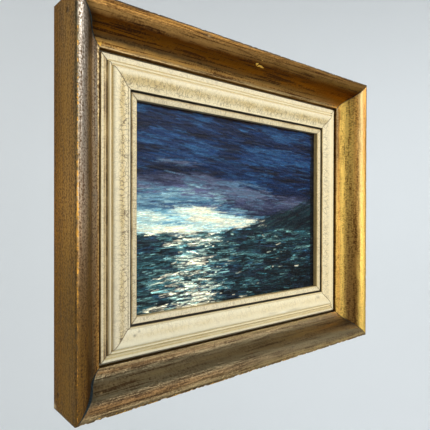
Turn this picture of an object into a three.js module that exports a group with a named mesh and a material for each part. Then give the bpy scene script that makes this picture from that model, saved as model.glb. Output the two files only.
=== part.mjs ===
// Framed oil painting on board: a deep gilt scoop frame, a cream liner, a narrow cream slip
// and the painted board, one solid for each mitred length of moulding.
// Millimetres. +X to the right seen from the front, +Y into the wall, +Z up.
// The origin is the middle of the back face of the frame's top rail, where it hangs on the wall.

import * as THREE from 'three';

// Whole object
const overallWidth = 450;
const overallHeight = 375;
const mitreGap = 0.4;             // width of the joint between two lengths at a corner
const curveSteps = 12;            // facets on each curved stretch of a moulding

// In a moulding's section, "in" is measured from the outer edge of the whole frame towards
// the picture, and "up" from the wall plane towards the room.

// Gilt frame: tall outer side, rounded crown, long scoop down to a thin lip
const giltSideUp = 48.6;
const giltCrownIn = 2.6;
const giltCrownUp = 50.8;
const giltTurnIn = 21.5;          // where the shoulder turns into the hollow
const giltTurnUp = 34;
const giltLipIn = 35.4;
const giltLipUp = 21;
const giltLipUnderUp = 14;
const giltRebateIn = 27;

// Liner: stepped outer edge, flat fillet, groove, bead, quirk, broad sloping face, raised edge
const linerOuterIn = 27.5;
const linerBackUp = 4;
const linerTongueUp = 13.6;
const linerStepIn = 38.1;
const linerFilletUp = 18.5;
const linerGrooveIn = 43.4;
const linerGrooveUp = 17.4;
const linerBeadIn = 45.1;
const linerBeadEndIn = 47.9;
const linerBeadRise = 3.4;
const linerQuirkUp = 19.9;
const linerFaceIn = 48.9;
const linerFaceCrownIn = 52.8;
const linerFaceCrownUp = 23.3;
const linerHollowIn = 66.2;
const linerHollowUp = 19.3;
const linerSightRiseIn = 67.2;
const linerSightUp = 20.5;
const linerSightIn = 68.6;
const linerSightUnderUp = 14.6;
const linerRebateIn = 62;

// Slip: tongue under the liner, narrow face sloping a little towards the picture
const slipOuterIn = 62.4;
const slipBackUp = 6;
const slipTongueUp = 14.2;
const slipStepIn = 70.8;
const slipFaceUp = 18.6;
const slipFaceRound = 0.7;
const slipSightIn = 77.4;
const slipSightUp = 17.9;
const slipSightUnderUp = 11.9;
const slipRebateIn = 72.3;

// Board: a 12 by 9 inch hardboard panel
const boardWidth = 304.8;
const boardHeight = 228.6;
const boardThickness = 3.2;
const boardFrontUp = 11.5;
const boardCornerRound = 0.8;

// The wall mount is in the middle of the top rail's back face
const frameCentreZ = giltRebateIn / 2 - overallHeight / 2;

// The longest moulding runs mitre to mitre. Its section is drawn with X as "in", Y as "up".
function mitredRail(section, outerLength) {
  const geometry = new THREE.ExtrudeGeometry(section, {
    depth: 1,
    steps: 1,
    bevelEnabled: false,
    curveSegments: curveSteps,
  });
  const corners = geometry.getAttribute('position');
  const endSetback = mitreGap * Math.SQRT1_2;
  for (let i = 0; i < corners.count; i += 1) {
    const inward = corners.getX(i);
    const upward = corners.getY(i);
    const side = corners.getZ(i) < 0.5 ? 1 : -1;
    const reach = outerLength / 2 - inward - endSetback;
    corners.setXYZ(i, side * reach, -upward, -inward);
  }
  geometry.deleteAttribute('uv');
  geometry.computeVertexNormals();
  return geometry;
}

function giltSection() {
  const section = new THREE.Shape();
  section.moveTo(0, 0);
  section.lineTo(giltRebateIn, 0);
  section.lineTo(giltRebateIn, giltLipUnderUp);
  section.lineTo(giltLipIn, giltLipUnderUp);
  section.lineTo(giltLipIn, giltLipUp);
  section.bezierCurveTo(
    giltLipIn - 6, giltLipUp + 1, giltTurnIn + 3, giltTurnUp - 6.3, giltTurnIn, giltTurnUp,
  );
  section.bezierCurveTo(
    giltTurnIn - 5, giltTurnUp + 10.5, giltCrownIn + 8, giltCrownUp - 0.8, giltCrownIn, giltCrownUp,
  );
  section.quadraticCurveTo(0, giltCrownUp, 0, giltSideUp);
  section.closePath();
  return section;
}

function linerSection() {
  const section = new THREE.Shape();
  const grooveMiddle = (linerGrooveIn + linerBeadIn) / 2;
  const beadMiddle = (linerBeadIn + linerBeadEndIn) / 2;
  section.moveTo(linerOuterIn, linerBackUp);
  section.lineTo(linerRebateIn, linerBackUp);
  section.lineTo(linerRebateIn, linerSightUnderUp);
  section.lineTo(linerSightIn, linerSightUnderUp);
  section.lineTo(linerSightIn, linerSightUp);
  section.lineTo(linerSightRiseIn, linerSightUp);
  section.lineTo(linerHollowIn, linerHollowUp);
  section.bezierCurveTo(
    linerHollowIn - 4, linerHollowUp + 1, linerFaceCrownIn + 5, linerFaceCrownUp,
    linerFaceCrownIn, linerFaceCrownUp,
  );
  section.quadraticCurveTo(linerFaceIn, linerFaceCrownUp, linerFaceIn, linerQuirkUp);
  section.lineTo(linerBeadEndIn, linerQuirkUp);
  section.quadraticCurveTo(beadMiddle, linerFilletUp + linerBeadRise + 0.7, linerBeadIn, linerFilletUp + 1);
  section.quadraticCurveTo(grooveMiddle, linerGrooveUp - 1.2, linerGrooveIn, linerFilletUp);
  section.lineTo(linerStepIn, linerFilletUp - 0.3);
  section.lineTo(linerStepIn, linerTongueUp);
  section.lineTo(linerOuterIn, linerTongueUp);
  section.closePath();
  return section;
}

function slipSection() {
  const section = new THREE.Shape();
  section.moveTo(slipOuterIn, slipBackUp);
  section.lineTo(slipRebateIn, slipBackUp);
  section.lineTo(slipRebateIn, slipSightUnderUp);
  section.lineTo(slipSightIn, slipSightUnderUp);
  section.lineTo(slipSightIn, slipSightUp - slipFaceRound);
  section.quadraticCurveTo(slipSightIn, slipSightUp, slipSightIn - slipFaceRound, slipSightUp);
  section.lineTo(slipStepIn + slipFaceRound, slipFaceUp);
  section.quadraticCurveTo(slipStepIn, slipFaceUp, slipStepIn, slipFaceUp - slipFaceRound);
  section.lineTo(slipStepIn, slipTongueUp);
  section.lineTo(slipOuterIn, slipTongueUp);
  section.closePath();
  return section;
}

function boardOutline() {
  const outline = new THREE.Shape();
  const halfWidth = boardWidth / 2;
  const halfHeight = boardHeight / 2;
  const round = boardCornerRound;
  outline.moveTo(round - halfWidth, -halfHeight);
  outline.lineTo(halfWidth - round, -halfHeight);
  outline.quadraticCurveTo(halfWidth, -halfHeight, halfWidth, round - halfHeight);
  outline.lineTo(halfWidth, halfHeight - round);
  outline.quadraticCurveTo(halfWidth, halfHeight, halfWidth - round, halfHeight);
  outline.lineTo(round - halfWidth, halfHeight);
  outline.quadraticCurveTo(-halfWidth, halfHeight, -halfWidth, halfHeight - round);
  outline.lineTo(-halfWidth, round - halfHeight);
  outline.quadraticCurveTo(-halfWidth, -halfHeight, round - halfWidth, -halfHeight);
  return outline;
}

// Four lengths of one moulding around the picture
function addMouldingSet(parent, name, section, material) {
  const sides = [
    { side: 'top', length: overallWidth, turn: 0, x: 0, z: overallHeight / 2 },
    { side: 'right', length: overallHeight, turn: Math.PI / 2, x: overallWidth / 2, z: 0 },
    { side: 'bottom', length: overallWidth, turn: Math.PI, x: 0, z: -overallHeight / 2 },
    { side: 'left', length: overallHeight, turn: -Math.PI / 2, x: -overallWidth / 2, z: 0 },
  ];
  for (const place of sides) {
    const rail = new THREE.Mesh(mitredRail(section, place.length), material);
    rail.name = `${name}_${place.side}`;
    rail.rotation.y = place.turn;
    rail.position.set(place.x, 0, place.z);
    parent.add(rail);
  }
}

function addBoard(parent, material) {
  const geometry = new THREE.ExtrudeGeometry(boardOutline(), {
    depth: boardThickness,
    bevelEnabled: false,
    curveSegments: 3,
  });
  const board = new THREE.Mesh(geometry, material);
  board.name = 'painted_board';
  board.rotation.x = Math.PI / 2;
  board.position.set(0, boardThickness - boardFrontUp, 0);
  parent.add(board);
}

const agedGilding = new THREE.MeshStandardMaterial({ color: 0xa07a3c, roughness: 0.42, metalness: 0.8 });
const creamPaint = new THREE.MeshStandardMaterial({ color: 0xe8dcb8, roughness: 0.6, metalness: 0 });
const slipPaint = new THREE.MeshStandardMaterial({ color: 0xe2d5ae, roughness: 0.6, metalness: 0 });
const oilPaint = new THREE.MeshStandardMaterial({ color: 0x1c3350, roughness: 0.35, metalness: 0 });

const picture = new THREE.Group();
const aroundCentre = new THREE.Group();
aroundCentre.position.z = frameCentreZ;
picture.add(aroundCentre);

addMouldingSet(aroundCentre, 'gilt_rail', giltSection(), agedGilding);
addMouldingSet(aroundCentre, 'liner_rail', linerSection(), creamPaint);
addMouldingSet(aroundCentre, 'slip_rail', slipSection(), slipPaint);
addBoard(aroundCentre, oilPaint);

export default picture;
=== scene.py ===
# Framed oil painting: gilt scoop frame, cream liner, cream slip and painted board.
import math

import bpy
import numpy as np
from mathutils import Matrix, Vector


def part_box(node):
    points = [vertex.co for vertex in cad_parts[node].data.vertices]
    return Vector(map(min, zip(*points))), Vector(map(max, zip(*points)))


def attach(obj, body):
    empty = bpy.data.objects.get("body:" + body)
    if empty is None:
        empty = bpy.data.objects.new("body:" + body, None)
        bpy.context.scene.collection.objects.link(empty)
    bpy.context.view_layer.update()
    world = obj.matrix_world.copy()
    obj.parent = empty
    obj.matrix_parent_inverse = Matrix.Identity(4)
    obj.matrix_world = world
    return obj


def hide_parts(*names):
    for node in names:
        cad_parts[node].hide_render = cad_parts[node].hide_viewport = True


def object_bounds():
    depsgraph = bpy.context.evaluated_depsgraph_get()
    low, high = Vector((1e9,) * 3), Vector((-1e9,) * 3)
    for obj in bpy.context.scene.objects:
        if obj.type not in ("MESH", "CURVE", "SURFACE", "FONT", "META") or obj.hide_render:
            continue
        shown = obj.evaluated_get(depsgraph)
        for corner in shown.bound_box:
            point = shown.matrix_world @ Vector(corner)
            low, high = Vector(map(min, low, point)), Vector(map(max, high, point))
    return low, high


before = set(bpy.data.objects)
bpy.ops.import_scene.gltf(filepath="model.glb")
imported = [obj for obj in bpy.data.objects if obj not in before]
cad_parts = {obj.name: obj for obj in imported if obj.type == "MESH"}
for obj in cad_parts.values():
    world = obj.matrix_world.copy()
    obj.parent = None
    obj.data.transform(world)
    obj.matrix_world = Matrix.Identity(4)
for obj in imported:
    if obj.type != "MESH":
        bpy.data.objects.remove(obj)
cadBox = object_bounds()
lowCorner, highCorner = cadBox
mm = 0.001

# Sizes below are in millimetres; the whole frame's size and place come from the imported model.
outerWidth = (highCorner[0] - lowCorner[0]) / mm
outerHeight = (highCorner[2] - lowCorner[2]) / mm
wallY = highCorner[1]
frameDepth = (highCorner[1] - lowCorner[1]) / mm
frameCentre = Vector(((lowCorner[0] + highCorner[0]) / 2, wallY, (lowCorner[2] + highCorner[2]) / 2))

# Each rail runs along +X or +Z, and its section is measured inwards from the outer edge.
railSides = {
    "top": {"length": outerWidth, "along": (1, 0), "inward": (0, -1), "edge": outerHeight / 2},
    "right": {"length": outerHeight, "along": (0, 1), "inward": (-1, 0), "edge": outerWidth / 2},
    "bottom": {"length": outerWidth, "along": (1, 0), "inward": (0, 1), "edge": outerHeight / 2},
    "left": {"length": outerHeight, "along": (0, 1), "inward": (1, 0), "edge": outerWidth / 2},
}


def blendCells(grid, x, y, eased=False):
    # the value between the four cells around each place
    i, j = x.astype(int), y.astype(int)
    fx, fy = x - i, y - j
    if eased:
        fx, fy = (share * share * (3 - 2 * share) for share in (fx, fy))
    if grid.ndim == 3:
        fx, fy = fx[..., None], fy[..., None]
    near = grid[i, j] * (1 - fx) + grid[i + 1, j] * fx
    far = grid[i, j + 1] * (1 - fx) + grid[i + 1, j + 1] * fx
    return near * (1 - fy) + far * fy


def softNoise(a, b, cellA, cellB, seed):
    # smooth random field over two coordinates, from -1 to 1
    rng = np.random.default_rng(seed)
    x, y = np.broadcast_arrays((a - np.min(a)) / cellA, (b - np.min(b)) / cellB)
    grid = rng.uniform(-1, 1, (int(x.max()) + 3, int(y.max()) + 3))
    return blendCells(grid, x, y, eased=True)


def hump(value, at, width, power=2):
    return np.exp(-((value - at) / width) ** power)


def awayFrom(a, atA, reachA, b, atB, reachB):
    # distance from a spot, 1 at the rim of its ellipse
    return np.sqrt(((a - atA) / reachA) ** 2 + ((b - atB) / reachB) ** 2)


def easeStep(low, high, value):
    share = np.clip((value - low) / (high - low), 0, 1)
    return share * share * (3 - 2 * share)


def fromScreen(colour):
    # a colour as seen on a screen, 0 to 255, as the linear value that a shader takes
    share = np.array(colour, float) / 255
    linear = np.where(share <= 0.04045, share / 12.92, ((share + 0.055) / 1.055) ** 2.4)
    return tuple(float(c) for c in linear)


def makeSection(start, stretches):
    # stretches: zone, steps, then any pulls of the curve and its end; the outline comes back to its start
    points, zones = [], []
    for zone, steps, *guides in stretches:
        share = np.linspace(0, 1, steps, endpoint=False)[:, None]
        run = [np.array(point, float) for point in (start, *guides)]
        while len(run) > 1:
            run = [a * (1 - share) + b * share for a, b in zip(run, run[1:])]
        points.append(run[0])
        zones += [zone] * steps
        start = guides[-1]
    points = np.vstack(points)
    ahead = np.roll(points, -1, axis=0) - points
    hops = np.linalg.norm(ahead, axis=1)
    behind = points - np.roll(points, 1, axis=0)
    tangent = ahead / hops[:, None] + behind / np.linalg.norm(behind, axis=1)[:, None]
    tangent /= np.maximum(np.linalg.norm(tangent, axis=1), 1e-6)[:, None]
    normals = np.stack([-tangent[:, 1], tangent[:, 0]], axis=1)
    travel = np.concatenate([[0], np.cumsum(hops)[:-1]])
    return {"points": points, "normals": normals, "travel": travel, "zones": np.array(zones)}


giltSizes = {
    "sideUp": 48.6, "crown": (2.6, 50.8), "turn": (21.5, 34.0), "lip": (35.4, 21.0),
    "lipUnderUp": 14.0, "rebateIn": 27.0, "lipRound": 0.5,
}


def giltSection():
    s = giltSizes
    crown, turn, lip, r = s["crown"], s["turn"], s["lip"], s["lipRound"]
    return makeSection((0, 0), [
        ("side", 40, (0, s["sideUp"])),
        ("arris", 8, (0, crown[1]), crown),
        ("scoop", 27, (crown[0] + 8, crown[1] - 0.8), (turn[0] - 5, turn[1] + 10.5), turn),
        ("scoop", 22, (turn[0] + 3, turn[1] - 6.3), (lip[0] - 6, lip[1] + 1), (lip[0] - r, lip[1] + 0.08)),
        ("lip", 3, lip, (lip[0], lip[1] - r)),
        ("lip", 5, (lip[0], s["lipUnderUp"])),
        ("wood", 3, (s["rebateIn"], s["lipUnderUp"])),
        ("wood", 5, (s["rebateIn"], 0)),
        ("wood", 9, (0, 0)),
    ])


linerSizes = {
    "outerIn": 27.5, "backUp": 4.0, "tongueUp": 13.6, "stepIn": 38.1, "filletUp": 18.5,
    "grooveIn": 43.4, "grooveUp": 17.4, "beadIn": 45.1, "beadEndIn": 47.9, "beadRise": 3.4,
    "quirkUp": 19.9, "faceIn": 48.9, "faceCrown": (52.8, 23.3), "hollow": (66.2, 19.3),
    "sightRiseIn": 67.2, "sightUp": 20.5, "sightIn": 68.6, "sightUnderUp": 14.6, "rebateIn": 62.0,
}


def linerSection():
    s = linerSizes
    crown, hollow = s["faceCrown"], s["hollow"]
    grooveMiddle = (s["grooveIn"] + s["beadIn"]) / 2
    beadMiddle = (s["beadIn"] + s["beadEndIn"]) / 2
    step, fillet, sight = s["stepIn"], s["filletUp"], s["sightIn"]
    return makeSection((s["outerIn"], s["backUp"]), [
        ("wood", 3, (s["outerIn"], s["tongueUp"])),
        ("edge", 4, (step, s["tongueUp"])),
        ("edge", 4, (step, fillet - 0.8)),
        ("paint", 3, (step, fillet - 0.3), (step + 0.5, fillet - 0.27)),
        ("paint", 6, (s["grooveIn"], fillet)),
        ("paint", 7, (grooveMiddle, s["grooveUp"] - 1.2), (s["beadIn"], fillet + 1)),
        ("paint", 8, (beadMiddle, fillet + s["beadRise"] + 0.7), (s["beadEndIn"], s["quirkUp"])),
        ("paint", 2, (s["faceIn"], s["quirkUp"])),
        ("paint", 9, (s["faceIn"], crown[1]), crown),
        ("paint", 15, (crown[0] + 5, crown[1]), (hollow[0] - 4, hollow[1] + 1), hollow),
        ("paint", 3, (s["sightRiseIn"], s["sightUp"])),
        ("paint", 2, (sight - 0.3, s["sightUp"])),
        ("paint", 1, (sight, s["sightUp"] - 0.3)),
        ("paint", 5, (sight, s["sightUnderUp"])),
        ("wood", 3, (s["rebateIn"], s["sightUnderUp"])),
        ("wood", 3, (s["rebateIn"], s["backUp"])),
        ("wood", 8, (s["outerIn"], s["backUp"])),
    ])


slipSizes = {
    "outerIn": 62.4, "backUp": 6.0, "tongueUp": 14.2, "stepIn": 70.8, "faceUp": 18.6,
    "faceRound": 0.7, "sightIn": 77.4, "sightUp": 17.9, "sightUnderUp": 11.9, "rebateIn": 72.3,
}


def slipSection():
    s = slipSizes
    step, sight, r = s["stepIn"], s["sightIn"], s["faceRound"]
    return makeSection((s["outerIn"], s["backUp"]), [
        ("wood", 2, (s["outerIn"], s["tongueUp"])),
        ("edge", 3, (step, s["tongueUp"])),
        ("edge", 3, (step, s["faceUp"] - r)),
        ("paint", 3, (step, s["faceUp"]), (step + r, s["faceUp"])),
        ("paint", 6, (sight - r, s["sightUp"])),
        ("paint", 3, (sight, s["sightUp"]), (sight, s["sightUp"] - r)),
        ("paint", 5, (sight, s["sightUnderUp"])),
        ("wood", 2, (s["rebateIn"], s["sightUnderUp"])),
        ("wood", 2, (s["rebateIn"], s["backUp"])),
        ("wood", 4, (s["outerIn"], s["backUp"])),
    ])


def addMesh(name, corners, faces, marks, materials, faceMaterials, sharpAngle=35):
    # marks: named values kept on the corners, one number or three for each
    mesh = bpy.data.meshes.new(name)
    mesh.from_pydata(corners.tolist(), [], faces)
    for label, values in marks.items():
        if values.ndim == 1:
            mark = mesh.attributes.new(label, "FLOAT", "POINT")
            mark.data.foreach_set("value", values.astype(np.float32))
        else:
            mark = mesh.attributes.new(label, "FLOAT_VECTOR", "POINT")
            mark.data.foreach_set("vector", values.astype(np.float32).ravel())
    for material in materials:
        mesh.materials.append(material)
    mesh.polygons.foreach_set("material_index", np.array(faceMaterials, np.int32))
    mesh.polygons.foreach_set("use_smooth", np.ones(len(faces), bool))
    mesh.update()
    mesh.set_sharp_from_angle(angle=math.radians(sharpAngle))
    piece = bpy.data.objects.new(name, mesh)
    bpy.context.scene.collection.objects.link(piece)
    return piece


# each rail stops this many mm short of the mitre at both ends, measured along it
mitreGap = 0.283


def railGrid(section, side, ringStep, gapLow=mitreGap, gapHigh=mitreGap):
    # the rail's resting shape: along, inward, up and travel round the section, for each point and ring
    length = railSides[side]["length"]
    rings = int(round(length / ringStep)) + 1
    share = np.linspace(0, 1, rings)[None, :]
    inward = section["points"][:, 0:1]
    reach = length / 2 - inward
    along = -(reach - gapLow) * (1 - share) + (reach - gapHigh) * share
    inward = np.repeat(inward, rings, axis=1)
    up = np.repeat(section["points"][:, 1:2], rings, axis=1)
    travel = np.repeat(section["travel"][:, None], rings, axis=1)
    return along, inward, up, travel


def buildRail(name, section, side, grid, marks, materials, zoneMaterials):
    along, inward, up = grid
    place = railSides[side]
    count, rings = along.shape
    edge = place["edge"]
    x = place["along"][0] * along + place["inward"][0] * (inward - edge)
    z = place["along"][1] * along + place["inward"][1] * (inward - edge)
    corners = np.stack([x * mm + frameCentre.x, wallY - up * mm, z * mm + frameCentre.z], axis=-1)
    index = np.arange(count * rings).reshape(count, rings)
    nextRow = np.roll(index, -1, axis=0)
    quads = np.stack([index[:, :-1], nextRow[:, :-1], nextRow[:, 1:], index[:, 1:]], axis=-1)
    faceMaterials = [zoneMaterials[zone] for zone in section["zones"] for _ in range(rings - 1)]
    faces = quads.reshape(-1, 4)
    lowCap = index[::-1, 0]
    highCap = index[:, -1]
    if side in ("top", "left"):
        faces = faces[:, ::-1]
        lowCap = lowCap[::-1]
        highCap = highCap[::-1]
    faces = faces.tolist() + [lowCap.tolist(), highCap.tolist()]
    faceMaterials += [zoneMaterials["cap"]] * 2
    flat = {label: values.reshape(count * rings, -1).squeeze() for label, values in marks.items()}
    return addMesh(name, corners.reshape(-1, 3), faces, flat, materials, faceMaterials)


def dress(piece, node):
    # every piece belongs to the one body and stands in for its node
    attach(piece, "root")
    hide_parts(node)


def fillInputs(node, inputs):
    for key, value in inputs.items():
        if isinstance(value, bpy.types.NodeSocket):
            node.id_data.links.new(value, node.inputs[key])
        elif node.inputs[key].type == "RGBA":
            node.inputs[key].default_value = (*value, 1)
        else:
            node.inputs[key].default_value = value


def addNode(tree, kind, inputs, **settings):
    node = tree.nodes.new("ShaderNode" + kind)
    for key, value in settings.items():
        setattr(node, key, value)
    fillInputs(node, inputs)
    return node


def newMaterial(name):
    material = bpy.data.materials.new(name)
    material.use_nodes = True
    tree = material.node_tree
    tree.nodes.clear()
    shader = addNode(tree, "BsdfPrincipled", {})
    addNode(tree, "OutputMaterial", {"Surface": shader.outputs["BSDF"]})
    return material, tree, shader


def treeOf(*values):
    return next(value.id_data for value in values if isinstance(value, bpy.types.NodeSocket))


def combine(operation, *values):
    # joins sockets and plain numbers by math nodes, from left to right
    total = values[0]
    for value in values[1:]:
        total = addNode(treeOf(*values), "Math", {0: total, 1: value}, operation=operation).outputs[0]
    return total


def plus(*values):
    return combine("ADD", *values)


def minus(*values):
    return combine("SUBTRACT", *values)


def times(*values):
    return combine("MULTIPLY", *values)


def larger(*values):
    return combine("MAXIMUM", *values)


def clamped(socket):
    socket.node.use_clamp = True
    return socket


def vectorMath(operation, a, b):
    return addNode(treeOf(a), "VectorMath", {0: a, 1: b}, operation=operation).outputs[0]


def mixColour(share, a, b, blend="MIX"):
    inputs = {0: share, 6: a, 7: b}
    return addNode(treeOf(share, a, b), "Mix", inputs, data_type="RGBA", blend_type=blend).outputs[2]


def greyOf(tone):
    return addNode(treeOf(tone), "CombineColor", {0: tone, 1: tone, 2: tone}).outputs[0]


def markVector(tree, label):
    return addNode(tree, "Attribute", {}, attribute_name=label).outputs["Vector"]


def markValue(tree, label):
    return addNode(tree, "Attribute", {}, attribute_name=label).outputs["Fac"]


def noiseOf(vector, scale, detail=3.0, roughness=0.5, distortion=0.0):
    inputs = {"Vector": vectorMath("MULTIPLY", vector, scale), "Scale": 1.0, "Detail": detail,
              "Roughness": roughness, "Distortion": distortion}
    return addNode(treeOf(vector), "TexNoise", inputs).outputs["Fac"]


def spread(value, low, high, toLow=0.0, toHigh=1.0):
    inputs = {"Value": value, "From Min": low, "From Max": high, "To Min": toLow, "To Max": toHigh}
    return addNode(treeOf(value), "MapRange", inputs, interpolation_type="SMOOTHSTEP").outputs[0]


def bumpOf(height, distance, strength):
    inputs = {"Height": height, "Distance": distance, "Strength": strength}
    return addNode(treeOf(height), "Bump", inputs).outputs[0]


def bandRamp(position, stops):
    # stops: (place from 0 to 1, colour on screen, share kept in alpha), in rising order
    ramp = addNode(treeOf(position), "ValToRGB", {"Fac": position})
    marks = ramp.color_ramp.elements
    while len(marks) < len(stops):
        marks.new(0.5)
    for mark, (at, colour, share) in zip(marks, stops):
        mark.position = at
    for mark, (at, colour, share) in zip(marks, stops):
        mark.color = (*fromScreen(colour), share)
    return ramp.outputs["Color"], ramp.outputs["Alpha"]


def woodMaterial(name, pale, dark):
    # sawn, aged softwood for the hidden faces
    material, tree, shader = newMaterial(name)
    place = markVector(tree, "place")
    grain = noiseOf(place, (0.02, 0.7, 0.7), 4, 0.6, 0.4)
    fibre = noiseOf(place, (0.15, 3.0, 3.0), 2)
    tone = plus(times(grain, 0.75), times(fibre, 0.25))
    colour = mixColour(spread(tone, 0.35, 0.65), fromScreen(dark), fromScreen(pale))
    fillInputs(shader, {"Base Color": colour, "Roughness": 0.8, "Normal": bumpOf(tone, 0.0004, 0.5)})
    return material


def crossCracks(place, scale, width):
    # thin wavy lines that run mostly across the rail
    field = noiseOf(place, scale, 1.5, 0.5, 0.7)
    away = combine("ABSOLUTE", minus(field, 0.5), 0.0)
    return spread(away, 0.0, width, 1.0, 0.0)


def gildingMaterial(name, look):
    # metal leaf under a dark wax: streaked along the rail, speckled, rubbed bright on the edge; its tones and
    # its shade mark also paint in reflections and shade
    material, tree, shader = newMaterial(name)
    place = markVector(tree, "place")
    station, share, wear, grimeAndShade, bare, craze, mottle = (markValue(tree, label) for label in (
        "station", "share", "wear", "grimeAndShade", "bare", "craze", "mottle"))
    noises = {key: spread(noiseOf(place, scale, *shape), *window)
              for key, (scale, shape, window) in look["noises"].items()}
    at = plus(station, times(minus(noises["cloud"], 0.5), look["wander"]))
    # the leaf's tones across the section at the rail's low and high end, painted reflections and shade among
    # them
    lowLeaf, waxBase = bandRamp(at, giltStops(look, 1))
    leaf = mixColour(share, lowLeaf, bandRamp(at, giltStops(look, 2))[0])
    # how much dark wax lies on the leaf
    patches = plus(-0.5 * sum(look["wax"].values()),
                   *(times(noises[key], amount) for key, amount in look["wax"].items()))
    cracks = times(crossCracks(place, look["crazeScale"], look["crazeWidth"]), craze)
    wax = clamped(plus(waxBase, times(patches, mottle), cracks, times(noises["dots"], look["dotShare"])))
    colour = mixColour(1.0, leaf, mixColour(wax, (1, 1, 1), look["waxTint"]), "MULTIPLY")
    # painted shade in the hollows by the mitres, and a lighter stretch halfway along
    colour = mixColour(1.0, colour, markVector(tree, "shade"), "MULTIPLY")
    # rubbed metal on the edge, broken up by the speckle
    broken = plus(times(noises["speckle"], 0.35), times(noises["grain"], 0.45))
    rubbed = spread(plus(wear, minus(broken, 0.4)), 0.35, 0.75)
    bright = mixColour(share, *(fromScreen(tone) for tone in look["wearColour"]))
    for amount, tone in ((rubbed, bright), (bare, fromScreen(look["bareColour"])),
                         (grimeAndShade, fromScreen(look["grimeAndShadeColour"]))):
        colour = mixColour(amount, colour, tone)
    metal = clamped(minus(look["metal"], times(wax, look["waxDulls"])))
    metal = times(larger(metal, times(rubbed, look["wearMetal"])), clamped(minus(1.0, larger(bare, grimeAndShade))))
    height = plus(times(noises["streak"], 0.3), times(noises["grain"], 0.15), times(noises["speckle"], 0.25))
    fillInputs(shader, {"Base Color": colour, "Metallic": metal, "Specular Tint": fromScreen(look["sheen"]),
                        "Roughness": plus(look["roughness"], times(wax, look["waxRough"])),
                        "Normal": bumpOf(minus(height, times(cracks, 0.5)), 0.0005, look["bump"])})
    return material


def creamMaterial(name, look):
    # brushed cream paint toned brown in its hollows, crackled, with dirt at the mitres and painted shade in
    # its grooves, gaps and sight faces
    material, tree, shader = newMaterial(name)
    place = markVector(tree, "place")
    toningAndShade, crackle, grimeAndShade = (markValue(tree, label) for label in ("toningAndShade", "crackle", "grimeAndShade"))
    cloud, brush, speckle = (noiseOf(place, scale, 3, 0.6) for scale in (
        (0.05, 0.16, 1), (0.05, 1.1, 1), (0.42, 0.55, 1)))
    tone = plus(times(brush, look["brush"]), times(cloud, look["cloud"]), times(speckle, look["speckle"]),
                1.0 - 0.5 * (look["brush"] + look["cloud"] + look["speckle"]))
    colour = mixColour(1.0, fromScreen(look["cream"]), greyOf(tone), "MULTIPLY")
    # painted light and shade along the rail
    colour = mixColour(1.0, colour, markVector(tree, "shade"), "MULTIPLY")
    # brown glaze and painted shade, patchy along the rail: ochre where thin, umber where it pooled or lies in
    # shade
    patch = spread(plus(times(cloud, 0.5), times(speckle, 0.5)), 0.32, 0.68, 0.70, 1.30)
    glaze = clamped(times(toningAndShade, patch))
    colour = mixColour(1.0, colour, bandRamp(glaze, look["glaze"])[0], "MULTIPLY")
    # crackle: wavy lines across the rail over a finer net of warped cells
    bendField = addNode(tree, "TexNoise", {"Vector": place, "Scale": 0.30, "Detail": 2.5}).outputs["Color"]
    shove = vectorMath("MULTIPLY", vectorMath("SUBTRACT", bendField, (0.5, 0.5, 0.5)), (3.2, 3.2, 0))
    cellPlace = vectorMath("MULTIPLY", vectorMath("ADD", place, shove), look["cellScale"])
    cell = addNode(tree, "TexVoronoi", {"Vector": cellPlace, "Scale": 1.0},
                   feature="DISTANCE_TO_EDGE").outputs["Distance"]
    net = times(spread(cell, 0.0, look["cellWidth"], 1.0, 0.0), look["cellShare"])
    cracks = larger(net, crossCracks(place, look["crackScale"], look["crackWidth"]))
    cracks = times(cracks, crackle, spread(cloud, 0.38, 0.58, 0.55, 1.0))
    dots = times(spread(speckle, 0.66, 0.72), look["dots"])
    for amount, tone in ((times(cracks, look["crackDark"]), "crackColour"), (dots, "crackColour"),
                         (grimeAndShade, "grimeAndShadeColour")):
        colour = mixColour(amount, colour, fromScreen(look[tone]))
    height = plus(minus(times(brush, 0.4), cracks), times(speckle, 0.2))
    roughness = spread(speckle, 0.3, 0.7, look["roughness"] - 0.08, look["roughness"] + 0.08)
    fillInputs(shader, {"Base Color": colour, "Roughness": roughness,
                        "Normal": bumpOf(height, 0.0004, look["bump"])})
    return material


# tones for the leaf, from the sooty, shaded edge to the rubbed gold; besides the leaf's own colour they paint
# in reflections and shade
giltTones = {
    "sootAndShade": (65, 45, 25), "umber": (85, 65, 40), "amber": (85, 45, 5), "honey": (125, 80, 20),
    "bronze": (130, 95, 45), "tarnishAndSheen": (110, 100, 75), "drab": (135, 120, 90), "oldGold": (165, 125, 70),
    "ochre": (205, 155, 80), "gold": (250, 210, 110), "straw": (210, 185, 130), "pewter": (170, 160, 145),
    "pearl": (220, 210, 190),
}
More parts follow.
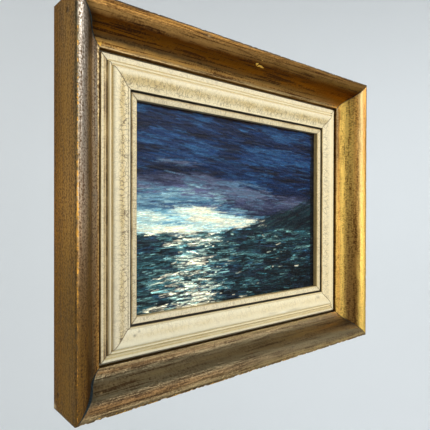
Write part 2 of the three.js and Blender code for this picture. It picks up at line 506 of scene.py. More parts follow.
# One dictionary for each gilt rail; low and high are its ends, and every place is in mm. Each rail's tones,
# across it and along it, paint in its reflections and shade as well as wax, dirt and wear.
# side: height above the wall, tone at the low and the high end, share of dark wax if not waxBase's;
# face: the same by distance in from the outer edge. wax: how much each noise adds; mottle: how strongly, by
# distance in. chipBare: how pale the chips are.
# wearColour: rubbed metal at the low and high end; waxDulls: how far wax takes the metal's shine.
# rub: the bright edge's place past the arris, then half widths and strengths from the low to the high end.
# film: dark dirt by the arris: strength, place past it, half width. crazeAt: place of cracks, half width,
# strength. cornerDark: painted shade in the hollow by the mitre at the low and the high end. openMitre: how
# far the joint gapes there.
giltLooks = {
    "left": {
        "seed": 11, "waxBase": 0.45, "lipFace": "umber", "waxDulls": 0.5, "dotShare": 0.4,
        "side": [(2, "honey", "honey"), (30, "bronze", "oldGold", 0.4), (46, "bronze", "oldGold", 0.5)],
        "face": [(1, "bronze", "tarnishAndSheen"), (4, "bronze", "pewter"), (8, "bronze", "pewter"),
                 (11, "bronze", "pewter"), (16, "umber", "tarnishAndSheen"), (22, "sootAndShade", "umber"),
                 (27, "drab", "pearl"), (32, "oldGold", "pewter"), (34.5, "ochre", "straw")],
        "wax": {"streak": 0.38, "line": 0.4, "broad": 0.08, "cloud": 0.14, "speckle": 0.35, "grain": 0.85},
        "mottle": [(0, 1.0), (14, 1.1), (20, 0.8), (27, 1.1), (35, 1.0)],
        "crazeAt": (25, 9, 0.5), "wearColour": ((200, 145, 60), (230, 175, 85)), "middleLift": 0.8,
        "rub": (1.3, (0.5, 1.0, 1.2, 0.7, 0.45), (0.35, 0.65, 0.9, 0.55, 0.35)), "film": (0.25, -1.4, 0.5),
        "chips": 24, "chipDepth": 0.5, "specks": 44, "nicks": 26, "openMitre": (4.2, 0.5),
        "cornerDark": (0.55, 0.65),
    },
    "top": {
        "seed": 12, "waxBase": 0.42, "lipFace": "oldGold", "waxDulls": 0.2, "dotShare": 0.25,
        "side": [(2, "oldGold", "oldGold", 0.5), (46, "oldGold", "oldGold", 0.4)],
        "face": [(1, "sootAndShade", "sootAndShade"), (4, "bronze", "oldGold"), (8, "oldGold", "oldGold"),
                 (11, "oldGold", "bronze"), (16, "amber", "amber"), (22, "honey", "honey"),
                 (27, "umber", "bronze"), (31, "ochre", "oldGold"), (34.5, "drab", "straw")],
        "wax": {"streak": 0.7, "line": 0.8, "broad": 0.35, "cloud": 0.25, "speckle": 0.22, "grain": 0.45},
        "mottle": [(0, 0.7), (10, 0.9), (15, 1.4), (24, 1.5), (28, 1.2), (35, 1.1)],
        "crazeAt": (30, 4, 0.15), "wearColour": ((225, 175, 80), (240, 200, 90)), "middleLift": 0,
        "rub": (0, (1.0, 1.0, 1.0, 1.0, 1.0), (0.45, 0.3, 0.2, 0.15, 0.15)), "film": (1.1, 0.5, 0.9),
        "chips": 40, "chipDepth": 0.55, "specks": 90, "nicks": 0, "openMitre": (0.5, 0),
        "cornerDark": (0.75, 0.15),
    },
    "right": {
        "seed": 13, "waxBase": 0.1, "lipFace": "bronze", "waxDulls": 0.25, "dotShare": 0.35,
        "side": [(2, "oldGold", "oldGold", 0.5), (46, "oldGold", "oldGold", 0.4)],
        "face": [(1, "ochre", "oldGold", 0.2), (4, "gold", "ochre"), (8, "gold", "oldGold"),
                 (11, "gold", "straw"), (16, "bronze", "ochre", 0.35), (22, "oldGold", "gold", 0.35),
                 (27, "gold", "gold"), (31, "ochre", "bronze", 0.15), (34.5, "gold", "drab", 0.25)],
        "wax": {"streak": 0.4, "line": 0.2, "broad": 0.2, "cloud": 0.25, "speckle": 0.28, "grain": 0.45},
        "mottle": [(0, 0.5), (12, 0.5), (15, 1.3), (24, 1.3), (28, 0.7), (35, 0.8)],
        "crazeAt": (31, 4, 0.4), "wearColour": ((225, 170, 90), (225, 170, 90)), "middleLift": 0,
        "rub": (0, (1.2, 1.2, 1.2, 1.2, 1.2), (0.35, 0.3, 0.3, 0.25, 0.2)), "film": (0.5, 0.1, 0.5),
        "chips": 18, "chipDepth": 0.45, "specks": 22, "nicks": 0, "openMitre": (0.1, 0.1),
        "cornerDark": (0.1, 0.2),
    },
    "bottom": {
        "seed": 14, "waxBase": 0.42, "lipFace": "umber", "waxDulls": 0.4, "dotShare": 0.4,
        "side": [(2, "oldGold", "oldGold", 0.5), (46, "oldGold", "oldGold", 0.35)],
        "face": [(1, "umber", "umber"), (4, "drab", "straw"), (8, "umber", "drab"),
                 (11, "umber", "tarnishAndSheen"), (16, "tarnishAndSheen", "tarnishAndSheen"), (22, "drab", "tarnishAndSheen"),
                 (27, "tarnishAndSheen", "tarnishAndSheen"), (31, "umber", "drab"), (34.5, "drab", "straw")],
        "wax": {"streak": 0.55, "line": 0.65, "broad": 0.3, "cloud": 0.35, "speckle": 0.25, "grain": 0.45},
        "mottle": [(0, 1.0), (12, 0.9), (18, 1.0), (25, 0.9), (35, 0.6)],
        "crazeAt": (28, 5, 0.15), "wearColour": ((205, 160, 80), (205, 160, 80)), "middleLift": 0,
        "rub": (0, (1.8, 1.8, 1.6, 1.6, 1.4), (0.75, 0.8, 0.75, 0.75, 0.6)), "film": (0.25, -0.6, 0.8),
        "chips": 70, "chipDepth": 1.1, "specks": 110, "nicks": 8, "openMitre": (1.6, 0),
        "cornerDark": (0.35, 0.1), "chipBare": 0.6,
    },
}
# what the four gilt rails share; noises: scale, (detail, roughness, distortion), range that fades in
giltCommon = {
    "noises": {"broad": ((0.012, 0.20, 1), (2, 0.5, 0.3), (0.34, 0.66)),
               "streak": ((0.016, 0.45, 1), (2, 0.6, 0.25), (0.34, 0.66)),
               "line": ((0.014, 0.60, 1), (2, 0.6, 0.2), (0.53, 0.62)),
               "cloud": ((0.045, 0.10, 1), (3, 0.55, 0.0), (0.34, 0.66)),
               "speckle": ((0.24, 0.34, 1), (1, 0.5, 0.0), (0.36, 0.64)),
               "grain": ((0.50, 0.62, 1), (1, 0.5, 0.0), (0.36, 0.64)),
               "dots": ((0.30, 0.36, 1), (2, 0.5, 0.0), (0.62, 0.68))},
    "wander": 0.02, "metal": 0.95, "waxTint": (0.20, 0.13, 0.08),
    "crazeScale": (0.20, 0.05, 1), "crazeWidth": 0.035, "wearMetal": 0.9, "grimeAndShadeColour": (34, 32, 28),
    "bareColour": (206, 176, 126), "sheen": (255, 222, 176),
    "roughness": 0.34, "waxRough": 0.16, "bump": 0.6,
    "ringStep": 1.1, "sink": 0.16, "wave": 0.09, "ridge": 0.045, "stipple": 0.03,
    "chipWidth": (0.9, 3.6), "chipBare": 0.3,
}


def giltStation(section):
    # one rising number over the section: side, then face, then the lip's own edge
    lip = giltSizes["lip"]
    inward, up = section["points"][:, 0], section["points"][:, 1]
    station = 0.3 + 0.6 * inward / lip[0]
    station = np.where(section["zones"] == "side", 0.3 * up / giltSizes["sideUp"], station)
    edge = (section["zones"] == "lip") & (inward >= lip[0] - 0.01)
    station = np.where(edge, 0.9 + 0.1 * np.clip((lip[1] - up) / 3.0, 0, 1), station)
    return station


def giltStops(look, end):
    # end: 1 for the colours at the rail's low end, 2 for its high end
    stops = []
    spans = {"side": (0, 0.3, giltSizes["sideUp"]), "face": (0.3, 0.6, giltSizes["lip"][0])}
    for surface, (start, reach, size) in spans.items():
        for at, *tones in look[surface]:
            share = tones[2] if len(tones) > 2 else look["waxBase"]
            stops.append((start + reach * at / size, giltTones[tones[end - 1]], share))
    return stops + [(0.915, giltTones[look["lipFace"]], 0.4)]


# small marks by side and surface: place up or in, place along, reach across, reach along (mm), kind, strength
giltMarks = {
    ("left", "side"): [
        (31.4, 173.9, 2.0, 2.4, "hole", 1.0), (9.9, -171.4, 1.6, 2.0, "hole", 1.0),
        (46.7, -119.3, 0.9, 1.2, "hole", 0.8), (14.6, 132.8, 2.6, 3.6, "dark", 0.35),
        (1.5, -184.5, 4.0, 2.6, "pale", 0.9), (25.0, -187.0, 30.0, 0.9, "dark", 0.8)],
    ("left", "face"): [(27.0, 12.0, 8.5, 0.9, "dark", 0.8), (33.0, 10.0, 2.2, 3.0, "dark", 0.3)],
    ("right", "face"): [
        (17.5, 129.7, 1.2, 2.2, "dark", 0.8), (25.0, 91.0, 0.8, 11.0, "dark", 0.7),
        (22.0, 60.0, 0.8, 16.0, "dark", 0.35), (16.0, 30.0, 0.9, 20.0, "dark", 0.3)],
    ("bottom", "face"): [
        (12.4, 60.8, 1.0, 1.5, "dark", 0.85), (9.5, 178.9, 1.2, 2.0, "dark", 0.7),
        (13.7, -201.6, 1.4, 1.8, "dark", 0.6), (19.2, -195.8, 1.0, 1.0, "pale", 0.6),
        (31.0, 150.0, 2.0, 2.5, "pale", 0.2)],
    ("top", "face"): [
        (17.1, 5.0, 1.5, 7.0, "bright", 1.0), (15.8, -1.5, 1.2, 3.0, "bright", 1.0),
        (12.0, 3.5, 0.7, 1.2, "bright", 0.7), (9.0, 1.0, 0.6, 1.0, "bright", 0.6),
        (32.1, -189.9, 1.8, 3.0, "bright", 0.9), (5.0, -83.0, 2.4, 8.0, "dark", 0.35),
        (5.6, -80.0, 0.9, 1.6, "pale", 0.7), (30.0, -150.0, 1.2, 9.0, "dark", 0.45)],
}


def markGilding(side, zones, along, inward, travel, marks, lift):
    # nail holes, scuffs and spots that belong to one place
    front = np.isin(zones, ("arris", "scoop"))
    labels = {"hole": "grimeAndShade", "dark": "grimeAndShade", "bright": "wear", "pale": "bare"}
    for (markSide, surface), spots in giltMarks.items():
        for at, place, across, reach, kind, strength in spots if markSide == side else ():
            if surface == "face":
                at = np.interp(at, inward[front, 0], travel[front, 0])
            shape = strength * np.exp(-awayFrom(travel, at, across, along, place, reach) ** 2.5)
            if kind == "hole":
                lift -= 1.2 * shape
            marks[labels[kind]] = np.maximum(marks[labels[kind]], shape)


def edgeChips(look, along, length, rng):
    # depth in mm of the bites out of the outer front edge
    chips = np.zeros_like(along)
    for _ in range(look["chips"]):
        centre = rng.uniform(-length / 2, length / 2)
        width = rng.uniform(*look["chipWidth"])
        depth = look["chipDepth"] * rng.uniform(0.25, 1.0) ** 1.5
        chips = np.maximum(chips, depth * np.clip(1 - ((along - centre) / width) ** 2, 0, 1) ** 0.7)
    return chips


def edgeDarkening(look, past, along, length, rng, seed):
    # a dark film by the edge, specks, and long nicks where the leaf has flaked
    strength, at, width = look["film"]
    grimeAndShade = strength * hump(past, at, width) * (0.75 + 0.6 * softNoise(along, 0, 5, 1, seed))
    for _ in range(look["specks"]):
        away = awayFrom(past, rng.normal(0, 1.1), rng.uniform(0.5, 1.0),
                        along, rng.uniform(-0.5, 0.5) * length, rng.uniform(0.7, 2.2))
        grimeAndShade = np.maximum(grimeAndShade, rng.uniform(0.4, 0.9) * np.exp(-away ** 2))
    for _ in range(look["nicks"]):
        away = awayFrom(past, rng.normal(0.7, 0.4), 0.6,
                        along, -rng.uniform(-0.05, 0.5) * length, rng.uniform(1.5, 7.0))
        grimeAndShade = np.maximum(grimeAndShade, rng.uniform(0.5, 0.8) * np.exp(-away ** 3))
    return grimeAndShade


def buildGiltRail(side):
    look = {**giltCommon, **giltLooks[side]}
    section = giltSection()
    zones = section["zones"]
    length = railSides[side]["length"]
    low, high = look["openMitre"]
    opening = hump(section["points"][:, 0:1], 19, 9.0) * np.isin(zones, ("scoop", "lip", "arris"))[:, None]
    along, inward, up, travel = railGrid(section, side, look["ringStep"],
                                         mitreGap + low * opening, mitreGap + high * opening)
    seen = np.isin(zones, ("side", "arris", "scoop", "lip")).astype(float)
    seen[zones == "lip"] = 0.4
    seen[0] = 0.0
    seen = seen[:, None]
    seed = look["seed"] * 10
    lift = look["wave"] * softNoise(along, travel, 85, 13, seed)
    lift += look["ridge"] * softNoise(along, travel, 30, 1.4, seed + 1)
    lift += look["stipple"] * softNoise(along, travel, 2.3, 2.3, seed + 2)
    lift -= look["sink"]
    # chips, rubbing and dirt along the outer front edge
    arrisAt = section["travel"][zones == "arris"].mean()
    past = travel - arrisAt
    nearEdge = hump(past, 0, 2.2)
    share = along / length
    rng = np.random.default_rng(seed + 3)
    chips = edgeChips(look, along, length, rng)
    rubAt, *rubCourse = look["rub"]
    rubWidth, rubStrength = (np.interp(share, np.linspace(-0.5, 0.5, len(course)), course)
                             for course in rubCourse)
    marks = {
        "wear": hump(past, rubAt, rubWidth) * rubStrength
        * (0.8 + 0.45 * softNoise(along, 0, 7, 1, seed + 5)),
        "bare": np.clip(chips / 1.2, 0, 1) * nearEdge ** 2 * look["chipBare"],
        "grimeAndShade": edgeDarkening(look, past, along, length, rng, seed + 6),
    }
    markGilding(side, zones, along, inward, travel, marks, lift)
    lift = lift * seen
    inward = inward + section["normals"][:, 0:1] * lift
    up = up + section["normals"][:, 1:2] * lift
    rub = 0.14 + 0.10 * softNoise(along, 0, 14, 1, seed + 4)
    bite = (chips + rub) * nearEdge * 0.7
    inward = np.maximum(inward + bite, 0.02)
    up = np.clip(up - bite, 0.0, frameDepth - 0.02)
    # dark glue in the mitres, dirt and painted shade down the open joints, and painted shade in the hollow
    # beside them
    reach = length / 2 - inward - np.abs(along)
    hollow = hump(inward, 17, 9.0) * seen
    corner = np.where(along < 0, *look["cornerDark"]) * hump(np.maximum(reach - 1, 0), 0, 6.0, 1.5) * hollow
    joint = np.where(along < 0, low, high) / 2.3 * hump(reach, 0, 1.0 + 1.6 * hollow) * hollow
    marks["grimeAndShade"] = np.maximum(marks["grimeAndShade"], 0.8 * hump(reach, 0, 0.6) * seen)
    marks["grimeAndShade"] = np.clip(np.maximum(marks["grimeAndShade"], joint), 0, 1)
    crazeAt, crazeWidth, crazeStrength = look["crazeAt"]
    marks["mottle"] = np.interp(inward, *zip(*look["mottle"]))
    marks["craze"] = crazeStrength * hump(inward, crazeAt, crazeWidth, 4) * seen
    # lighter halfway along, just inside the edge
    middleLighter = 1 + look["middleLift"] * hump(share, 0, 0.13) * hump(inward, 4, 7.0) * seen
    # the shade mark: painted shade by the mitres times the lighter middle stretch
    marks["shade"] = ((1 - corner) * middleLighter)[..., None] * np.ones(3)
    marks["share"] = easeStep(-0.36, 0.36, share)
    marks["station"] = np.repeat(giltStation(section)[:, None], along.shape[1], axis=1)
    across = np.where(seen * inward > 1, arrisAt + 0.85 * inward + 0.15 * past, travel)
    marks["place"] = np.stack([along, across, np.full_like(along, seed * 3.7)], axis=-1)
    zoneMaterials = {"side": 0, "arris": 0, "scoop": 0, "lip": 0, "wood": 1, "cap": 2}
    piece = buildRail("giltRail_" + side, section, side, (along, inward, up), marks,
                      [gildingMaterial("agedGilding_" + side, look), backWood, jointShadeWood], zoneMaterials)
    dress(piece, "gilt_rail_" + side)


# what liner and slip share
creamCommon = {
    "glaze": [(0.0, (255, 255, 255), 1), (0.33, (230, 217, 186), 1), (0.66, (178, 158, 126), 1),
              (1.0, (92, 78, 58), 1)],
    "crackWidth": 0.036, "dots": 0.15, "grimeAndShadeColour": (38, 31, 24), "brush": 0.12,
    "roughness": 0.5, "bump": 0.5,
}
# Glaze wiped into the hollows, plus painted shade in the grooves, gaps and sight faces that lie away from the
# light: place across in mm, half width, strength by side;
# shade: painted light and shade, darker towards the bottom left: (level, tint) at the low and the high end of
# each rail
linerLook = {
    **creamCommon, "ringStep": 1.2, "seed": 60, "cream": (243, 232, 194), "cloud": 0.10, "speckle": 0.10,
    "cellScale": (0.19, 0.16, 1), "cellWidth": 0.065, "cellShare": 0.95, "crackScale": (0.22, 0.08, 1),
    "crackColour": (92, 74, 52), "crackDark": 0.95, "gapTop": 20.0, "edgeDarkening": 0.72,
    "toningAndShade": [(41.9, 1.2, {"left": 0.72, "top": 0.05, "right": 0.1, "bottom": 0.40}),
               (44.2, 0.85, {"left": 1.10, "top": 0.15, "right": 0.22, "bottom": 0.22}),
               (45.9, 0.8, {"left": 0.15, "top": 0.0, "right": 0.08, "bottom": 0.42}),
               (48.5, 0.7, {"left": 0.50, "top": 0.30, "right": 0.08, "bottom": 0.36}),
               (59.0, 4.4, {"left": 0.34, "top": 0.34, "right": 0.12, "bottom": 0.16}),
               (66.9, 1.0, {"left": 0.0, "top": 0.1, "right": 0.4, "bottom": 0.1}),
               (68.4, 0.6, {"left": 0.0, "top": 0.1, "right": 0.6, "bottom": 0.45}),
               (38.0, 0.8, {"left": 0.6, "top": 0.08, "right": 0.1, "bottom": 0.0})],
    "crackle": [(61.0, 6.5, 1.0), (41.0, 3.0, 0.4), (52.0, 4.0, 0.25)],
    "crackBySide": {"left": 1.0, "top": 0.75, "right": 0.5, "bottom": 0.25},
    "shade": {"left": ((0.77, "cool"), (0.98, "plain")), "top": ((0.92, "plain"), (0.94, "plain")),
              "right": ((0.93, "warm"), (1.0, "plain")), "bottom": ((0.82, "sky"), (0.98, "plain"))},
}
slipLook = {
    **creamCommon, "ringStep": 1.3, "seed": 80, "cream": (238, 226, 186), "cloud": 0.14, "speckle": 0.12,
    "cellScale": (0.25, 0.22, 1), "cellWidth": 0.08, "cellShare": 0.85, "crackScale": (0.24, 0.05, 1),
    "crackColour": (96, 78, 54), "crackDark": 0.75, "gapTop": 0, "edgeDarkening": 0.97,
    "toningAndShade": [(71.4, 0.9, {"left": 0.7, "top": 0.55, "right": 0.0, "bottom": 0.05}),
               (76.9, 0.9, {"left": 0.25, "top": 0.15, "right": 0.45, "bottom": 0.25}),
               (74.0, 3.5, {"left": 0.12, "top": 0.12, "right": 0.05, "bottom": 0.02})],
    "crackle": [(74.0, 3.6, 1.0)],
    "crackBySide": {"left": 0.9, "top": 0.6, "right": 0.6, "bottom": 0.6},
    "shade": {"left": ((0.74, "cool"), (0.95, "plain")), "top": ((0.83, "cool"), (0.88, "plain")),
              "right": ((0.84, "warm"), (0.92, "warm")), "bottom": ((0.80, "cool"), (0.95, "plain"))},
}
# the tints of the painted light and shade on the cream paint, where it looks cooler or warmer
creamTints = {
    "plain": (1, 1, 1), "cool": (0.97, 0.98, 1.05), "sky": (0.95, 1.0, 1.1), "warm": (1.04, 1.0, 0.93),
}
# spots and scuffs on the liner: place in, place along, reach across, reach along (mm), kind, strength
linerMarks = {
    "left": [(57.0, -128.0, 1.2, 1.6, "dark", 0.7), (61.0, -122.0, 1.0, 1.3, "dark", 0.6),
             (55.0, -134.0, 0.9, 1.2, "dark", 0.6)],
    "bottom": [(52.5, 92.0, 1.6, 14.0, "dark", 0.22), (52.0, 70.0, 1.5, 7.0, "pale", 0.9),
               (53.5, 48.0, 1.2, 9.0, "dark", 0.18), (60.0, -152.0, 1.2, 1.4, "dark", 0.7),
               (63.0, -146.0, 1.0, 1.2, "dark", 0.5), (66.0, 10.0, 1.0, 1.4, "dark", 0.6),
               (62.0, 147.0, 2.0, 4.0, "dark", 0.3)],
}


def buildCreamRail(kind, section, side, material, look, seed):
    along, inward, up, travel = railGrid(section, side, look["ringStep"])
    zones = section["zones"]
    innerEnd, faceUp = section["points"].max(axis=0)
    seen = (zones == "paint").astype(float)
    seen[np.argmax(seen)] = 0.0
    seen = seen[:, None]
    toningAndShade = np.zeros_like(along)
    wobble = 1 + 0.30 * softNoise(along, 0, 17, 1, seed + 7)
    for at, width, strength in look["toningAndShade"]:
        toningAndShade = np.maximum(toningAndShade, strength[side] * wobble * hump(inward, at, width))
    crackle = np.zeros_like(along)
    for at, width, strength in look["crackle"]:
        crackle = np.maximum(crackle, strength * hump(inward, at, width, 4))
    lift = 0.05 * softNoise(along, travel, 60, 8, seed) + 0.025 * softNoise(along, travel, 18, 1.3, seed + 1)
    lift += 0.02 * softNoise(along, travel, 2.5, 2.5, seed + 2)
    lift = lift * seen
    inward = inward + section["normals"][:, 0:1] * lift
    up = up + section["normals"][:, 1:2] * lift
    # dark glue line in the mitres, and painted shade, with some dirt, deep in the gaps and down the sight
    # faces
    length = railSides[side]["length"]
    reach = length / 2 - inward - np.abs(along)
    grimeAndShade = np.maximum(0.8 * hump(reach, 0, 0.45), look["edgeDarkening"] * (zones == "edge")[:, None])
    inner = inward > innerEnd - 0.5
    grimeAndShade = np.maximum(grimeAndShade, 0.95 * easeStep(0, 1.4, look["gapTop"] - up) * inner)
    below = easeStep(0.4, 1.4, faceUp - up) * inner
    # painted shade on the slip's sight face: darkest on the top rail, whose face looks down
    if kind == "slip" and side == "top":
        grimeAndShade = np.maximum(grimeAndShade, 0.7 * below)
    elif kind == "slip":
        toningAndShade = np.maximum(toningAndShade, 0.45 * below)
    # painted light and shade: darker towards the bottom left, and cooler there
    share = easeStep(-0.5, 0.5, along / length)[..., None]
    lowShade, highShade = (level * np.array(creamTints[tint]) for level, tint in look["shade"][side])
    shade = lowShade * (1 - share) + highShade * share
    for at, spot, across, span, mood, strength in linerMarks.get(side, ()) if kind == "liner" else ():
        shape = strength * np.exp(-awayFrom(inward, at, across, along, spot, span) ** 2.5) * seen
        if mood == "dark":
            grimeAndShade = np.maximum(grimeAndShade, shape)
        else:
            shade = shade * (1 + 0.14 * shape[..., None] * np.array((0.6, 1.0, 2.2)))
    marks = {"place": np.stack([along, travel, np.full_like(along, seed * 5.3)], axis=-1), "grimeAndShade": grimeAndShade,
             "toningAndShade": toningAndShade, "crackle": crackle * look["crackBySide"][side], "shade": shade}
    zoneMaterials = {"paint": 0, "edge": 0, "wood": 1, "cap": 1}
    piece = buildRail(kind + "Rail_" + side, section, side, (along, inward, up), marks,
                      [material, backWood], zoneMaterials)
    dress(piece, kind + "_rail_" + side)


boardLow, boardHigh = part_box("painted_board")
paintSizes = {"cell": 0.84, "artCell": 0.42, "relief": 0.9, "lap": 4.6, "edgeFade": 5.5}


def layStroke(art, at, length, width, turn, colour, load, rng):
    # one knife stroke: streaked colour with ridges at its edges and a small pile where it ends
    cell = paintSizes["artCell"]
    colours, height = art
    rows, columns = height.shape
    reach = (length / 2 + width) * 1.05
    left = max(int((at[0] - reach) / cell), 0)
    right = min(int((at[0] + reach) / cell) + 1, columns)
    rise = abs(math.sin(turn)) * length / 2 + width * 1.1
    low = max(int((at[1] - rise) / cell), 0)
    high = min(int((at[1] + rise) / cell) + 1, rows)
    if right <= left or high <= low:
        return
    x = (np.arange(left, right) * cell - at[0])[None, :]
    y = (np.arange(low, high) * cell - at[1])[:, None]
    alongStroke = x * math.cos(turn) + y * math.sin(turn)
    acrossStroke = y * math.cos(turn) - x * math.sin(turn)
    acrossStroke = acrossStroke + 0.10 * width * np.sin(alongStroke / length * 5 + rng.uniform(0, 6))
    lanes = rng.uniform(-1, 1, 24)
    lane = np.interp(acrossStroke, np.linspace(-width, width, 24), lanes)
    halfLength = length / 2 * (1 + 0.22 * np.interp(acrossStroke, np.linspace(-width, width, 24),
                                                    rng.uniform(-1, 1, 24)))
    inside = easeStep(0, 1.2, halfLength - np.abs(alongStroke))
    inside = inside * easeStep(0, 0.7, width / 2 - np.abs(acrossStroke))
    dry = easeStep(-0.3, 0.8, lane + 0.9 - 1.1 * np.clip(alongStroke / length + 0.35, 0, 1))
    cover = inside * (0.35 + 0.65 * dry) * load
    shade = rng.uniform(0.82, 1.2) * (1 + 0.26 * lane)
    patch = colours[low:high, left:right]
    patch += cover[..., None] * (np.array(colour) * shade[..., None] - patch)
    ridge = np.exp(-((np.abs(acrossStroke) - width / 2 + 0.5) / 0.55) ** 2)
    pile = np.exp(-((alongStroke - halfLength + 1.0) / 0.8) ** 2)
    thick = (0.45 + 0.3 * lane + 0.5 * ridge + 0.6 * pile) * load
    bed = height[low:high, left:right]
    bed += inside * (0.30 * bed + thick * rng.uniform(0.4, 1.0) - bed)


# Invented view: a lake at dusk, a far shore and a wooded ridge at the right, light low at the left.
viewSizes = {"shore": 0.385, "ridgeStart": 0.40, "ridgeRise": 0.22, "glowAt": 0.27}
# each row runs from dark to light; slate, haze, ridge, deep and teal end with one stray tone
viewColours = {
    "night": [(4, 10, 26), (6, 18, 42), (8, 28, 60), (12, 38, 76), (22, 54, 96), (38, 82, 122)],
    "slate": [(24, 30, 50), (36, 44, 70), (50, 56, 84), (66, 72, 96), (86, 94, 116), (76, 105, 130)],
    "haze": [(44, 66, 100), (54, 92, 125), (76, 120, 145), (106, 148, 166), (138, 174, 182), (85, 90, 124)],
    "glow": [(96, 156, 182), (138, 190, 200), (172, 212, 210), (204, 230, 216), (232, 240, 218),
             (244, 240, 206)],
    "ridge": [(5, 10, 20), (8, 20, 28), (12, 30, 38), (20, 42, 50), (32, 58, 60), (20, 30, 45)],
    "deep": [(3, 8, 12), (6, 15, 20), (9, 24, 32), (18, 40, 46), (28, 56, 62), (12, 18, 32)],
    "teal": [(18, 38, 48), (28, 60, 70), (42, 84, 92), (65, 110, 115), (95, 138, 136), (34, 72, 96)],
    "spark": [(96, 150, 156), (134, 182, 180), (176, 210, 198), (214, 230, 208), (238, 236, 208),
              (250, 244, 214)],
}


def ridgeLine(x):
    rise = np.clip((x - viewSizes["ridgeStart"]) / (1 - viewSizes["ridgeStart"]), 0, 1)
    return viewSizes["shore"] + viewSizes["ridgeRise"] * rise ** 1.35 + 0.018 * math.sin(x * 21) * rise


def viewColour(x, y, drift, rng):
    # drift: -1 to 1, the slow swing between the darker and the lighter end of each passage
    v = viewSizes
    fromGlow = x - v["glowAt"]
    near = math.exp(-(fromGlow / 0.30) ** 2)
    if y > v["shore"] and y < ridgeLine(x):
        kind = "ridge"
    elif y > v["shore"]:
        lift = (y - v["shore"]) / (1 - v["shore"])
        edge = 0.15 + 0.20 * near + 0.05 * math.sin(x * 7 + 1) + 0.05 * drift
        if lift < edge * 0.55 and near > 0.35:
            kind = "glow"
        elif lift < edge:
            kind = "haze"
        elif lift < edge + 0.16 + 0.06 * drift:
            kind = "slate"
        else:
            kind = "night"
    else:
        depth = (v["shore"] - y) / v["shore"]
        column = math.exp(-((fromGlow - 0.02 * math.sin(depth * 18)) / (0.07 + 0.07 * depth)) ** 2)
        if rng.uniform() < column * 0.75:
            kind = "spark"
        elif rng.uniform() < 0.35 * (1 - depth) + 0.35 * near:
            kind = "teal"
        else:
            kind = "deep"
    options = viewColours[kind]
    pick = int(np.clip((0.5 + 0.42 * drift + 0.22 * rng.normal()) * len(options), 0, len(options) - 1))
    return np.array(fromScreen(options[pick])), kind


def paintPicture(width, height):
    cell = paintSizes["artCell"]
    columns = int(width / cell) + 2
    rows = int(height / cell) + 2
    colours = np.tile(np.array(fromScreen((30, 48, 66))), (rows, columns, 1))
    relief = np.zeros((rows, columns))
    rng = np.random.default_rng(407)
    passes = [
        {"count": 800, "length": (30, 80), "width": (7, 14), "tilt": 0.06, "load": 1.0},
        {"count": 1500, "length": (22, 64), "width": (2.8, 6.5), "tilt": 0.07, "load": 0.95},
        {"count": 2200, "length": (12, 40), "width": (1.3, 3.2), "tilt": 0.09, "load": 0.9},
        {"count": 2600, "length": (6, 26), "width": (0.8, 1.8), "tilt": 0.12, "load": 0.85},
    ]
    down, over = np.meshgrid(np.arange(0, height + 2, 2.0), np.arange(0, width + 2, 2.0), indexing="ij")
    swing = softNoise(over, down, 46, 11, 61) + 0.6 * softNoise(over, down, 15, 4.5, 62)
    for step in passes:
        for _ in range(step["count"]):
            x = rng.uniform(-0.02, 1.02)
            y = rng.uniform(-0.02, 1.02)
            row = int(np.clip(y * height / 2, 0, swing.shape[0] - 1))
            column = int(np.clip(x * width / 2, 0, swing.shape[1] - 1))
            colour, kind = viewColour(x, y, swing[row, column], rng)
            length = rng.uniform(*step["length"])
            wide = rng.uniform(*step["width"])
            tilt = rng.normal(0, step["tilt"])
            if kind == "ridge":
                tilt += 0.25
                length *= 0.6
            elif kind in ("night", "slate"):
                tilt -= 0.06
            elif kind in ("spark", "teal", "deep"):
                length *= 0.55
                wide *= 0.65
                tilt *= 1.5
            layStroke((colours, relief), (x * width, y * height), length, wide, tilt, colour,
                      step["load"], rng)
    # flecks of light on the water and a few in the sky
    for _ in range(420):
        x = rng.uniform(0, 1)
        y = rng.uniform(0, viewSizes["shore"])
        near = math.exp(-((x - viewSizes["glowAt"]) / 0.22) ** 2)
        if rng.uniform() < 0.2 + 0.8 * near:
            options = viewColours["spark"] if rng.uniform() < 0.3 + 0.6 * near else viewColours["teal"]
            colour = np.array(fromScreen(options[rng.integers(len(options))]))
            layStroke((colours, relief), (x * width, y * height), rng.uniform(3, 12), rng.uniform(0.9, 2.2),
                      rng.normal(0.0, 0.12), colour, 0.9, rng)
    # painted shadow under the slip: a dark strip along the right edge and a rusty dark line at the top; a
    # fainter dark strip along the left edge
    down, over = np.meshgrid(np.arange(rows) * cell, np.arange(columns) * cell, indexing="ij")
    ragged = softNoise(over, down, 9, 7, 63) + 0.5 * softNoise(over, down, 2.5, 2.5, 64)
    for away, reach, tint, strength in ((width - over, 14.0, (7, 10, 15), 0.9),
                                        (height - down, 7.2, (34, 20, 14), 0.9),
                                        (over, 6.0, (8, 12, 18), 0.6)):
        veil = strength * easeStep(0, 1.6, reach + 1.3 * ragged - away)
        colours += veil[..., None] * (np.array(fromScreen(tint)) - colours)
    return colours, relief


